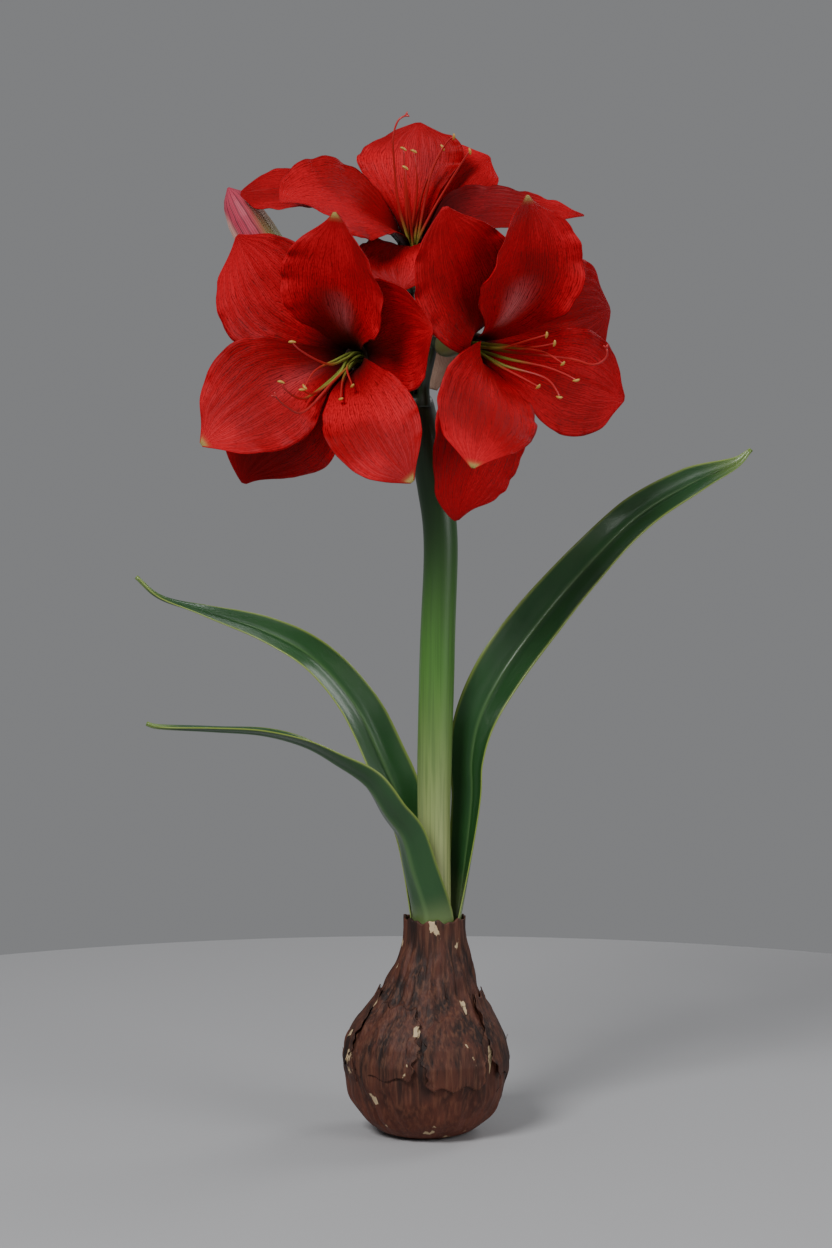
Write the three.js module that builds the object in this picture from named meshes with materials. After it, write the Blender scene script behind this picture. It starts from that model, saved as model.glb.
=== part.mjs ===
// An amaryllis in flower, standing on its bulb: three open flowers and a bud on one hollow-stemmed scape,
// three strap leaves, and a bulb in its papery brown tunic. Millimetres, +Z up.
// The origin is the middle of the flat base that the bulb rests on; the flowers face -Y.
import * as THREE from "three";

// Bulb
const BASE_RADIUS = 22;
const NECK_SHIFT = 5.5; // the neck stands this far to the right of the base
const NECK_FLOOR = 120; // inside the collar of the neck, where leaves and scape come out
const BULB_PROFILE = [
  [BASE_RADIUS, 0], [31, 3.5], [40, 12], [46.5, 24], [50, 38], [50.5, 49], [48, 60], [43.5, 69],
  [36.5, 79], [30.5, 88], [26.5, 97], [23, 107], [20.5, 116], [19.3, 125], [19, 134],
  [17.4, 134], [16.6, NECK_FLOOR],
];
const BULB_SIDES = 25; // odd, so that the origin lies inside one triangle of the base

// Scape, the flower stem
const SCAPE_LINE = [
  [7, 1, 120.5], [5, 1, 200], [7, 0, 300], [9, 0, 365], [5, 0, 400], [-1, 0, 430], [-5.5, 0, 447], [-6, 0, 456],
];
const SCAPE_RADIUS = [8.6, 9.6, 10.4, 10.6, 10.2, 10.2, 10.8];

// Every flower
const SKIN = 0.9; // thickness of a tepal
const TUBE_LENGTH = 31; // perianth tube and ovary, behind the throat
const CLEARANCE = 0.4;

// The tepals of each whorl are alike until something turns, bends or widens one of them: these are the
// values of a tepal that grew undisturbed. `open` is the angle between midrib and axis at base, middle
// and tip; `bend` swings the midrib sideways, `twist` turns the blade about it and `cup` lifts its margins,
// each at middle and tip; `widest` is where along the length it is widest; `side` widens and `roll` curls
// the left and the right margin; `ruffle` is the height, count and phase of the waves.
const INNER = {
  ring: 6, length: 110, width: 34, open: [20, 50, 80], bend: [0, 0], twist: [0, 0],
  cup: [10, 30], widest: 0.5, side: [1.1, 1.1], roll: [0, 0], ruffle: [1.5, 2, 0],
};
const OUTER = {
  ring: 8.5, length: 100, width: 36, open: [30, 70, 100], bend: [0, 0], twist: [0, 0],
  cup: [5, 15], widest: 0.55, side: [1.1, 1], roll: [0, 0], ruffle: [1, 2, 1],
};

// A flower: its throat, the way it faces, and its tepals, each with its place round the throat, `clock`,
// and whatever sets it apart from the others of its whorl.
const FLOWERS = {
  left: {
    throat: [-42, -48, 478], yaw: -27, pitch: 2,
    inner: [
      { clock: 12, length: 115, open: [20, 45, 75], bend: [10, -15], twist: [0, 15], cup: [20, 45],
        widest: 0.45, side: [1.2, 1.2], ruffle: [2, 2.5, 0] },
      { clock: 132, length: 120, width: 26, open: [20, 60, 85], bend: [5, 0], twist: [25, 20],
        widest: 0.6, roll: [0, 10] },
      { clock: 252, width: 31, open: [20, 45, 70], bend: [-20, -20], twist: [-5, -15], cup: [5, 40],
        widest: 0.45, side: [1.2, 1.3], roll: [-5, -10] },
    ],
    outer: [
      { clock: 72, length: 85, open: [30, 60, 60], bend: [5, 20], twist: [-15, 0], cup: [15, 20], roll: [10, 0] },
      { clock: 192, width: 33, bend: [35, 5], twist: [25, 20], cup: [-15, 10], widest: 0.45, roll: [-15, 0] },
      { clock: 312, bend: [5, 20], twist: [0, 20] },
    ],
  },
  right: {
    throat: [30, -44, 484], yaw: 45, pitch: -4,
    inner: [
      { clock: 3, length: 115, width: 36, open: [20, 55, 100], bend: [-20, -5], twist: [10, -10], cup: [20, 40],
        roll: [10, 5], ruffle: [2, 2.5, 1] },
      { clock: 123, length: 95, width: 32, bend: [-10, -20], twist: [-10, 5], cup: [0, 30], widest: 0.55 },
      { clock: 243, width: 36, open: [20, 55, 80], bend: [-15, -40], twist: [-30, -60], cup: [5, 10],
        side: [1, 1] },
    ],
    outer: [
      { clock: 63, length: 90, bend: [10, 15], twist: [-5, 5], cup: [10, 0], widest: 0.6 },
      { clock: 183, length: 110, open: [30, 80, 110], bend: [25, -15], cup: [-5, 35], side: [1, 1.15] },
      { clock: 303, length: 115, width: 36, open: [30, 75, 85], bend: [15, 35], twist: [20, 40], cup: [5, 20],
        widest: 0.45, side: [1, 1], roll: [5, 0], ruffle: [2, 2, 1] },
    ],
  },
  top: {
    throat: [-8, 6, 547], yaw: 2, pitch: 50,
    inner: [
      { clock: 0, length: 75, width: 36, open: [20, 50, 70], bend: [0, 20], twist: [10, 30], cup: [10, 0],
        widest: 0.55, roll: [-10, 0], ruffle: [2, 3, 0] },
      { clock: 120, length: 125, width: 24, open: [18, 65, 95], bend: [-5, -20], twist: [-20, 20], cup: [20, 10],
        widest: 0.4, side: [0.65, 1] },
      { clock: 240, width: 36, open: [20, 55, 80], bend: [5, -5], twist: [10, -25], cup: [0, 20],
        widest: 0.55, roll: [-10, 10] },
    ],
    outer: [
      { clock: 60, length: 70, width: 31, open: [30, 60, 90], bend: [-20, 0], cup: [10, 20], ruffle: [1.5, 3, 1] },
      { clock: 180, length: 70, width: 34, open: [30, 70, 135], bend: [10, 0], twist: [-10, -10], cup: [5, 0],
        widest: 0.65, side: [1, 1.1], ruffle: [3, 2.5, 2] },
      { clock: 300, length: 110, width: 30, open: [30, 80, 105], bend: [-25, -15], twist: [-20, 25], cup: [10, 15],
        widest: 0.6, side: [1, 1], roll: [5, -5] },
    ],
  },
};

// Stamens and style: points as [along the axis, to the right, up], measured from the throat. They leave
// the tube in a ring of seven slots, slot 0 lowest and the others counter-clockwise seen from in front.
const STAMENS = {
  left: [
    { slot: 1, path: [[22, 4, -12], [46, 15, -27]] },
    { slot: 2, path: [[20, 5, -6], [40, 20, -19]] },
    { slot: 3, path: [[18, 3, -1], [40, 3, -5], [62, -3, 2], [71, -7, 10]] },
    { slot: 4, path: [[18, -4, -2], [36, -8, -9], [50, -8, -21]] },
    { slot: 5, path: [[18, -2, -11], [40, -6, -22], [66, -1, -20]] },
    { slot: 6, path: [[20, -5, -13], [42, -11, -25], [66, -10, -21], [73, -12, -12]] },
  ],
  right: [
    { slot: 0, path: [[22, 2, -9], [46, 10, -14], [60, 7, -21], [66, 5, -28]] },
    { slot: 1, path: [[24, 3, -5], [52, 7, -8], [72, 8, -13], [76, 11, -17]] },
    { slot: 3, path: [[24, 3, 2], [50, 4, 1], [72, 2, -6]] },
    { slot: 4, path: [[24, -1, 3], [50, -3, 4], [68, -1, 8]] },
    { slot: 5, path: [[26, -5, 2], [50, -8, 8], [66, -6, 13]] },
    { slot: 6, path: [[22, -3, -9], [42, -3, -15], [58, -3, -20]] },
  ],
  top: [
    { slot: 0, path: [[28, -3, -2], [46, -5, 0], [58, -6, 6]] },
    { slot: 1, path: [[22, 11, 3], [42, 21, 6], [62, 31, 7], [68, 36, 8]] },
    { slot: 2, path: [[32, 8, 12], [46, 12, 17], [64, 20, 18], [71, 27, 16]] },
    { slot: 3, path: [[28, 5, 12], [46, 12, 19], [60, 19, 23]] },
    { slot: 4, path: [[34, 2, 9], [50, 1, 13], [60, -1, 20]] },
    { slot: 5, path: [[34, -5, 8], [52, -6, 14], [62, -7, 20]] },
  ],
};
const STYLES = {
  left: { slot: 0, path: [[26, -1, -15], [52, -6, -33], [70, -8, -30], [84, -8, -24]] },
  right: { slot: 2, path: [[24, 6, -1], [62, 13, -2], [84, 11, -4], [92, 13, 1], [94, 10, 8]] },
  top: { slot: 6, path: [[26, -9, 4], [52, -12, 10], [70, -13, 13], [80, -10, 17], [83, -4, 19]] },
};
const FILAMENT_RADIUS = 0.75;
const ANTHER_RADIUS = 1.3;
const STYLE_RADIUS = 0.7;

// Pedicels, from the top of the scape to each ovary, as middle points between the two ends
const PEDICEL_RADIUS = 3.4;
const PEDICELS = {
  left: { start: [-11.5, -5, 457.2], through: [[-11.8, -5.4, 461], [-20, -13, 472]] },
  right: { start: [-1.5, -6.5, 457.6], through: [[-1.4, -6.8, 461], [2, -15, 477]] },
  top: { start: [-4.5, 4.5, 457.4], through: [[-4.5, 4.8, 461], [-6, 18, 484], [-8, 27, 505]] },
};

// Bud
const BUD_LINE = [[-82, 12, 519], [-90, 12, 532], [-106, 14, 557], [-121, 16, 582]];
const BUD_RADIUS = [4, 8, 11.5, 13, 13, 12, 9, 3];
const BUD_PEDICEL = [[-13, 3.6, 457.2], [-13.4, 3.5, 461], [-29, 0, 476], [-56, 5, 492],
  [-76, 12, 508.5], [-81.5, 12, 518]];

// Spathe bracts: papery, drying, standing among the flowers
const BRACTS = [
  { line: [[4, 6, 459], [9, 8, 480], [8, 8, 505], [4, 6, 531]],
    width: [3, 12, 12, 5, 0.6], turn: [175, 172, 165], curl: [50, 30] },
  { line: [[-17, 8, 459], [-24, 17, 471], [-31, 26, 488], [-37, 34, 502]],
    width: [3, 9, 9, 5, 0.6], turn: [200, 200, 190], curl: [50, 40] },
];

// Leaves: midrib points, half widths along the leaf, `turn` of the blade about its midrib
// at base, middle and tip, and `curl`, the angle that its margins lift, at base and tip
const LEAVES = {
  upper_left_leaf: {
    line: [[-5, 6.5, 121], [-10, 16, 175], [-16, 15, 204], [-27, 20, 229], [-44, 26, 263], [-69, 32, 291],
      [-100, 38, 308], [-138, 42, 320], [-166, 44, 329], [-181, 44, 342]],
    width: [8, 12, 16, 17, 17, 15, 12, 8, 3.5, 0.8], turn: [-52, -42, -62], curl: [40, 22],
  },
  lower_left_leaf: {
    line: [[1.5, -14, 121], [0.5, -14.6, 138], [-7, -18, 165], [-13, -22, 187], [-23, -28, 202], [-35, -34, 221], [-53, -42, 235],
      [-72, -50, 247], [-97, -58, 255], [-127, -64, 258], [-158, -68, 260], [-166, -68, 262]],
    width: [18, 16, 15, 14, 13, 11, 9, 6, 3.5, 0.8], turn: [-165, -112, -68], curl: [70, 20],
  },
  right_leaf: {
    line: [[18.3, 2.5, 121], [23, 6, 156], [28, 9, 206], [28, 10, 231], [33, 10, 256], [47, 12, 284],
      [68, 16, 313], [96, 20, 346], [130, 22, 380], [164, 24, 401], [191, 24, 413], [201, 24, 422]],
    width: [10, 12, 14, 16, 17, 17, 16, 14, 10, 0.8], turn: [74, 28, 50], curl: [46, 25],
  },
};
const LEAF_THICKNESS = 1.6;

// Loose flakes of the tunic: middle angle and half angle round the bulb, lower and upper height
const FLAKES = {
  front_left_flake: { at: 238, half: 26, low: 42, high: 84 },
  front_right_flake: { at: 292, half: 24, low: 36, high: 78 },
  right_flake: { at: 350, half: 28, low: 40, high: 88 },
  back_flake: { at: 90, half: 40, low: 38, high: 86 },
  left_flake: { at: 180, half: 26, low: 46, high: 90 },
};
const FLAKE_LIFT = 0.9;
const FLAKE_THICKNESS = 0.6;

const COLOURS = {
  red: { color: 0xb3121c, roughness: 0.55 },
  filament: { color: 0xa9362b, roughness: 0.5 },
  green: { color: 0x2f5d27, roughness: 0.45 },
  stem: { color: 0x4f7d35, roughness: 0.45 },
  bud: { color: 0x9a3350, roughness: 0.5 },
  paper: { color: 0x9a7460, roughness: 0.9 },
  tunic: { color: 0x4a2418, roughness: 0.85 },
};

const radians = THREE.MathUtils.degToRad;
const vector = (p) => new THREE.Vector3(...p);
const smooth = (a, b, x) => THREE.MathUtils.smoothstep(x, a, b);

// The quadratic through a, b and c at 0, 0.5 and 1.
function three(u, [a, b, c]) {
  return a * (1 - u) * (1 - 2 * u) + b * 4 * u * (1 - u) + c * u * (2 * u - 1);
}

// Straight lines through evenly spaced values.
function along(values, u) {
  const x = Math.min(u, 1) * (values.length - 1);
  const i = Math.min(Math.floor(x), values.length - 2);
  return values[i] + (values[i + 1] - values[i]) * (x - i);
}

// One closed solid from rings of points, each ring in the same order, with both ends capped.
function solidFromRings(rings) {
  const count = rings[0].length;
  const positions = rings.flat().flatMap((p) => p.toArray());
  const index = [];
  for (let i = 0; i + 1 < rings.length; i++) {
    for (let j = 0; j < count; j++) {
      const a = i * count + j;
      const b = i * count + ((j + 1) % count);
      index.push(a, b, b + count, a, b + count, a + count);
    }
  }
  const last = (rings.length - 1) * count;
  for (let j = 1; j + 1 < count; j++) {
    index.push(0, j + 1, j, last, last + j, last + j + 1);
  }
  const geometry = new THREE.BufferGeometry();
  geometry.setAttribute("position", new THREE.Float32BufferAttribute(positions, 3));
  geometry.setIndex(index);
  geometry.computeVertexNormals();
  return geometry;
}

// A round rod along a smooth line, its radius running through the given values.
function rod(points, radii, sides, steps) {
  const curve = new THREE.CatmullRomCurve3(points.map(vector));
  const frames = curve.computeFrenetFrames(steps);
  const rings = [];
  for (let i = 0; i <= steps; i++) {
    const centre = curve.getPointAt(i / steps);
    const radius = along(radii, i / steps);
    const ring = [];
    for (let j = 0; j < sides; j++) {
      const angle = (j / sides) * 2 * Math.PI;
      const side = frames.normals[i].clone().multiplyScalar(Math.cos(angle) * radius);
      side.addScaledVector(frames.binormals[i], Math.sin(angle) * radius);
      ring.push(side.add(centre));
    }
    rings.push(ring);
  }
  return solidFromRings(rings);
}

// A thin sheet given as rows of points, thickened by half the thickness to each side.
function sheet(rows, thickness) {
  const normalAt = (i, j) => {
    const alongRow = rows[Math.min(i + 1, rows.length - 1)][j].clone().sub(rows[Math.max(i - 1, 0)][j]);
    const row = rows[i];
    const across = row[Math.min(j + 1, row.length - 1)].clone().sub(row[Math.max(j - 1, 0)]);
    return alongRow.cross(across).normalize();
  };
  const rings = rows.map((row, i) => {
    const front = row.map((p, j) => p.clone().addScaledVector(normalAt(i, j), thickness / 2));
    const back = row.map((p, j) => p.clone().addScaledVector(normalAt(i, j), -thickness / 2));
    return [...front, ...back.reverse()];
  });
  return stitched(rings);
}

// Rings of a sheet, capped row by row so that a bent first or last row stays closed.
function stitched(rings) {
  const count = rings[0].length;
  const positions = rings.flat().flatMap((p) => p.toArray());
  const index = [];
  for (let i = 0; i + 1 < rings.length; i++) {
    for (let j = 0; j < count; j++) {
      const a = i * count + j;
      const b = i * count + ((j + 1) % count);
      // both faces split their squares along the same diagonal, so that a warped sheet keeps its thickness
      if (j < count / 2) index.push(a, b + count, b, a, a + count, b + count);
      else index.push(a, a + count, b, b, a + count, b + count);
    }
  }
  const last = (rings.length - 1) * count;
  for (let j = 0; j + 1 < count / 2; j++) {
    const k = count - 1 - j;
    index.push(j, j + 1, k - 1, j, k - 1, k);
    index.push(last + j, last + k - 1, last + j + 1, last + j, last + k, last + k - 1);
  }
  const geometry = new THREE.BufferGeometry();
  geometry.setAttribute("position", new THREE.Float32BufferAttribute(positions, 3));
  geometry.setIndex(index);
  geometry.computeVertexNormals();
  return geometry;
}

function flowerFrame(flower) {
  const yaw = radians(flower.yaw);
  const pitch = radians(flower.pitch);
  const axis = new THREE.Vector3(
    Math.sin(yaw) * Math.cos(pitch), -Math.cos(yaw) * Math.cos(pitch), Math.sin(pitch));
  const right = new THREE.Vector3(0, 0, 1).cross(axis).normalize();
  return { throat: vector(flower.throat), axis, right, up: axis.clone().cross(right) };
}

// Half width of a tepal, rising to its widest place and falling to the tip.
function tepalWidth(u, tepal) {
  const base = 5 / tepal.width;
  if (u < tepal.widest) {
    return tepal.width * (base + (1 - base) * Math.sin((u / tepal.widest) * Math.PI / 2) ** 1.15);
  }
  return tepal.width * Math.max(1 - ((u - tepal.widest) / (1 - tepal.widest)) ** 2, 0) ** 0.75;
}

const FINE_STEPS = 48; // steps in which a midrib is summed
const CROSS_STEPS = 24; // steps in which a half section is summed
const TEPAL_ROWS = 10;
const TEPAL_COLUMNS = 6;
const TIP_END = 0.985; // the blunt end of a tepal, as a share of its length
const CROWDING = 0.96; // near the throat a tepal is no wider than this share of its distance from the axis

function tepalRows(flower, tepal) {
  const { throat, axis, right, up } = flowerFrame(flower);
  const clock = radians(tepal.clock);
  const outward = up.clone().multiplyScalar(Math.cos(clock)).addScaledVector(right, Math.sin(clock));
  const sideways = up.clone().multiplyScalar(-Math.sin(clock)).addScaledVector(right, Math.cos(clock));
  const tangentAt = (u) => {
    const opening = radians(three(u, tepal.open));
    const swing = radians(three(u, [0, ...tepal.bend]));
    return axis.clone().multiplyScalar(Math.cos(swing) * Math.cos(opening))
      .addScaledVector(outward, Math.cos(swing) * Math.sin(opening))
      .addScaledVector(sideways, Math.sin(swing));
  };
  const midribTo = (u) => {
    const point = throat.clone().addScaledVector(outward, tepal.ring);
    for (let k = 0; k < FINE_STEPS; k++) {
      point.addScaledVector(tangentAt((u * (k + 0.5)) / FINE_STEPS), (u * tepal.length) / FINE_STEPS);
    }
    return point;
  };
  const rows = [];
  for (let i = 0; i <= TEPAL_ROWS; i++) {
    const u = (i / TEPAL_ROWS) * TIP_END;
    const middle = midribTo(u);
    const tangent = tangentAt(u);
    const opening = radians(three(u, tepal.open));
    const face = axis.clone().multiplyScalar(Math.sin(opening)).addScaledVector(outward, -Math.cos(opening));
    face.addScaledVector(tangent, -face.dot(tangent)).normalize();
    const across = face.clone().cross(tangent);
    if (across.dot(sideways) < 0) across.negate();
    const twist = radians(three(u, [0, ...tepal.twist]));
    const B = across.clone().multiplyScalar(Math.cos(twist)).addScaledVector(face, Math.sin(twist));
    const N = face.clone().multiplyScalar(Math.cos(twist)).addScaledVector(across, -Math.sin(twist));
    const fromThroat = middle.clone().sub(throat);
    const distance = fromThroat.addScaledVector(axis, -fromThroat.dot(axis)).length();
    const width = (tepalWidth(u, tepal) ** -5 + (CROWDING * distance) ** -5) ** -0.2;
    const wrap = (Math.cos(opening) / distance) * (1 - smooth(0.3, 0.75, u));
    const cup = radians(three(u, [0, ...tepal.cup]));
    const half = (side, sign) => {
      const reach = width * (1 + (tepal.side[side] - 1) * smooth(0.2, 0.5, u));
      const roll = radians(tepal.roll[side]) * smooth(0.1, 0.4, u) * Math.min(1, (reach / tepal.width) * 1.2);
      const [height, waves, phase] = tepal.ruffle;
      const wave = height * Math.sin(2 * Math.PI * waves * u + phase + (side ? 0 : 2.1))
        * smooth(0.15, 0.45, u) * (width / tepal.width) ** 0.5;
      let x = 0;
      let z = 0;
      const points = [];
      for (let k = 1; k <= CROSS_STEPS; k++) {
        const q = (k - 0.5) / CROSS_STEPS;
        const slope = wrap * reach * q + (cup * q * reach) / tepal.width
          + roll * Math.max((q - 0.35) / 0.65, 0) ** 2;
        x += (Math.cos(slope) * reach) / CROSS_STEPS;
        z += (Math.sin(slope) * reach) / CROSS_STEPS;
        if (k % (2 * CROSS_STEPS / TEPAL_COLUMNS) === 0) {
          const lift = z + wave * (k / CROSS_STEPS) ** 2.5;
          points.push(middle.clone().addScaledVector(B, sign * x).addScaledVector(N, lift));
        }
      }
      return points;
    };
    rows.push([...half(0, -1).reverse(), middle, ...half(1, 1)]);
  }
  return rows;
}

// The blade of a leaf or bract, as rows of points across it.
function bladeRows({ line, width, turn, curl }, rowCount, columns) {
  const curve = new THREE.CatmullRomCurve3(line.map(vector));
  const rows = [];
  for (let i = 0; i <= rowCount; i++) {
    const u = i / rowCount;
    const middle = curve.getPointAt(u);
    const tangent = curve.getTangentAt(u);
    const flat = tangent.clone().cross(new THREE.Vector3(0, 1, 0)).normalize();
    const deep = flat.clone().cross(tangent);
    const angle = radians(three(u, turn));
    const across = flat.clone().multiplyScalar(Math.cos(angle)).addScaledVector(deep, Math.sin(angle));
    const face = tangent.clone().cross(across);
    const reach = along(width, u);
    const lift = radians(curl[0] + (curl[1] - curl[0]) * u);
    const row = [];
    for (let j = 0; j <= columns; j++) {
      const v = (j / columns) * 2 - 1;
      const bow = Math.max(Math.abs(v) * lift, 1e-6);
      const x = (reach / lift) * Math.sin(bow) * Math.sign(v);
      const z = (reach / lift) * (1 - Math.cos(bow));
      row.push(middle.clone().addScaledVector(across, x).addScaledVector(face, z));
    }
    rows.push(row);
  }
  return rows;
}

// Perianth tube and ovary in one, with the throat open at the front.
const TUBE_PROFILE = [
  [4, -TUBE_LENGTH], [6.3, -TUBE_LENGTH + 3], [7, -TUBE_LENGTH + 8], [6, -TUBE_LENGTH + 13],
  [5.2, -15], [6.2, -8], [8, -3.5], [9.6, -0.5], [5.2, -0.5], [4.8, -6], [4, -12],
];
const TUBE_SIDES = 16;

function tubeSolid(flower) {
  const { throat, axis, right, up } = flowerFrame(flower);
  const rings = TUBE_PROFILE.map(([radius, z]) => {
    const ring = [];
    for (let j = 0; j < TUBE_SIDES; j++) {
      const angle = (j / TUBE_SIDES) * 2 * Math.PI;
      ring.push(throat.clone().addScaledVector(axis, z)
        .addScaledVector(right, Math.cos(angle) * radius)
        .addScaledVector(up, Math.sin(angle) * radius));
    }
    return ring;
  });
  return solidFromRings(rings);
}

const THREAD_SLOTS = 7;
const THREAD_DEPTH = -10.5; // stamens and style start this deep in the tube

function thread(flower, { slot, path }, radii, steps) {
  const { throat, axis, right, up } = flowerFrame(flower);
  const angle = (slot / THREAD_SLOTS - 0.25) * 2 * Math.PI;
  const inTube = (depth, radius) => [depth, radius * Math.cos(angle), radius * Math.sin(angle)];
  const points = [inTube(THREAD_DEPTH, 2.6), inTube(3, 3.2), ...path].map(([a, x, y]) => throat.clone()
    .addScaledVector(axis, a).addScaledVector(right, x).addScaledVector(up, y).toArray());
  return rod(points, radii, 5, steps);
}

// Where the bulb's axis stands at a height: the neck leans to the right.
function bulbRing(radius, height, sides) {
  const ring = [];
  const shift = NECK_SHIFT * smooth(60, 125, height);
  for (let j = 0; j < sides; j++) {
    const angle = ((j + 0.5) / sides) * 2 * Math.PI;
    ring.push(new THREE.Vector3(Math.cos(angle) * radius + shift, Math.sin(angle) * radius, height));
  }
  return ring;
}

function bulbRadius(height) {
  const i = Math.max(BULB_PROFILE.findIndex(([, z]) => z > height), 1);
  const [r0, z0] = BULB_PROFILE[i - 1];
  const [r1, z1] = BULB_PROFILE[i];
  return r0 + ((r1 - r0) * (height - z0)) / (z1 - z0);
}

function flakeSolid({ at, half, low, high }) {
  const ROWS = 6;
  const COLUMNS = 8;
  const rows = [];
  for (let i = 0; i <= ROWS; i++) {
    const height = low + ((high - low) * i) / ROWS;
    const shift = NECK_SHIFT * smooth(60, 125, height);
    const taper = 0.55 + 0.45 * Math.sin(Math.PI * (0.15 + (0.7 * i) / ROWS));
    const row = [];
    for (let j = 0; j <= COLUMNS; j++) {
      const angle = radians(at + half * taper * ((2 * j) / COLUMNS - 1));
      const radius = bulbRadius(height) + FLAKE_LIFT + FLAKE_THICKNESS / 2;
      row.push(new THREE.Vector3(Math.cos(angle) * radius + shift, Math.sin(angle) * radius, height));
    }
    rows.push(row.reverse());
  }
  return sheet(rows, FLAKE_THICKNESS);
}

const plant = new THREE.Group();

function add(name, geometry, look) {
  const mesh = new THREE.Mesh(geometry, new THREE.MeshStandardMaterial({ metalness: 0, ...COLOURS[look] }));
  mesh.name = name;
  plant.add(mesh);
}

add("bulb", solidFromRings(BULB_PROFILE.map(([r, z]) => bulbRing(r, z, BULB_SIDES))), "tunic");
for (const [name, flake] of Object.entries(FLAKES)) add(name, flakeSolid(flake), "tunic");
add("scape", rod(SCAPE_LINE, SCAPE_RADIUS, 14, 18), "stem");
for (const [name, leaf] of Object.entries(LEAVES)) {
  add(name, sheet(bladeRows(leaf, 22, 6), LEAF_THICKNESS), "green");
}
BRACTS.forEach((bract, i) => add(`bract_${i + 1}`, sheet(bladeRows(bract, 10, 4), SKIN), "paper"));
add("bud_pedicel", rod(BUD_PEDICEL, [PEDICEL_RADIUS, 3, PEDICEL_RADIUS], 8, 12), "stem");
add("bud", rod(BUD_LINE, BUD_RADIUS, 12, 14), "bud");

for (const [side, flower] of Object.entries(FLOWERS)) {
  const { throat, axis } = flowerFrame(flower);
  const { start, through } = PEDICELS[side];
  const ovaryEnd = throat.clone().addScaledVector(axis, -TUBE_LENGTH - CLEARANCE).toArray();
  const behind = throat.clone().addScaledVector(axis, -TUBE_LENGTH - 6).toArray();
  add(`${side}_pedicel`, rod([start, ...through, behind, ovaryEnd], [PEDICEL_RADIUS, 3.2, 3.6], 8, 10), "stem");
  add(`${side}_tube`, tubeSolid(flower), "stem");
  flower.inner.forEach((own, i) => {
    add(`${side}_inner_tepal_${i + 1}`, sheet(tepalRows(flower, { ...INNER, ...own }), SKIN), "red");
  });
  flower.outer.forEach((own, i) => {
    add(`${side}_outer_tepal_${i + 1}`, sheet(tepalRows(flower, { ...OUTER, ...own }), SKIN), "red");
  });
  STAMENS[side].forEach((stamen, i) => {
    const radii = [...Array(9).fill(FILAMENT_RADIUS), 0.6, ANTHER_RADIUS, 0.6];
    add(`${side}_stamen_${i + 1}`, thread(flower, stamen, radii, 11), "filament");
  });
  const radii = [...Array(11).fill(STYLE_RADIUS), 0.6, 1.2, 0.8];
  add(`${side}_style`, thread(flower, STYLES[side], radii, 13), "filament");
}

export default plant;
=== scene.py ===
"""An amaryllis in flower, standing on its bulb: petals, stamens, leaves, stem, bud, bracts and papery tunic.

Lengths are in millimetres until a mesh is made, which turns them into metres.
"""
import math

import bpy
import numpy as np
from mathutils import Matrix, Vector


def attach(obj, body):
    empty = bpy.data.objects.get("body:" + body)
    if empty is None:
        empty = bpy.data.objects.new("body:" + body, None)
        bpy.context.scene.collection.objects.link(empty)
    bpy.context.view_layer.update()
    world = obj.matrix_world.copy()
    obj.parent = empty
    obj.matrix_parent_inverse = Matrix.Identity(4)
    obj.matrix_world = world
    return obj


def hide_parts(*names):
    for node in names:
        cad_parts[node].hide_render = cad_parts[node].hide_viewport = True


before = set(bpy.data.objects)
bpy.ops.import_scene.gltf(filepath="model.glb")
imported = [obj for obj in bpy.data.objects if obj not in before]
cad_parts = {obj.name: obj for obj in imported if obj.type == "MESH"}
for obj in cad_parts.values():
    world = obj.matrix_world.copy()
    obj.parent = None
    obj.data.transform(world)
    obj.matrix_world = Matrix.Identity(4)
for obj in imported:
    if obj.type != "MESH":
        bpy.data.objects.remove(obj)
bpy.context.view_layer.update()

METRES = 0.001
chance = np.random.default_rng(11)

# Bulb and stem
NECK_SHIFT = 5.5
BULB_PROFILE = [
    (22, 0), (31, 3.5), (40, 12), (46.5, 24), (50, 38), (50.5, 49), (48, 60), (43.5, 69),
    (36.5, 79), (30.5, 88), (26.5, 97), (23, 107), (20.5, 116), (19.3, 125), (19, 134),
]
COLLAR = [(17.8, 134), (17.0, 128), (16.6, 120)]
SCAPE_LINE = [
    (7, 1, 120.5), (5, 1, 200), (7, 0, 300), (9, 0, 365), (5, 0, 400), (-1, 0, 430), (-5.5, 0, 447),
    (-6, 0, 456),
]
SCAPE_ROWS = 120
SCAPE_RADIUS = [8.6, 9.6, 10.4, 10.6, 10.2, 10.2, 10.8]

# Petals
PETAL_ROWS = 60
PETAL_COLUMNS = 36
MIDRIB_FINENESS = 8  # steps of the midrib's curve to each row
HALF_STEPS = 48  # steps of the curve across each half of a petal
PETAL_SKIN = 0.8
PETAL_TIP = 0.992  # a petal ends at this share of its length
CROWDING = 0.96  # near the throat a petal is no wider than this share of its distance from the axis
TUBE_LENGTH = 31

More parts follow.
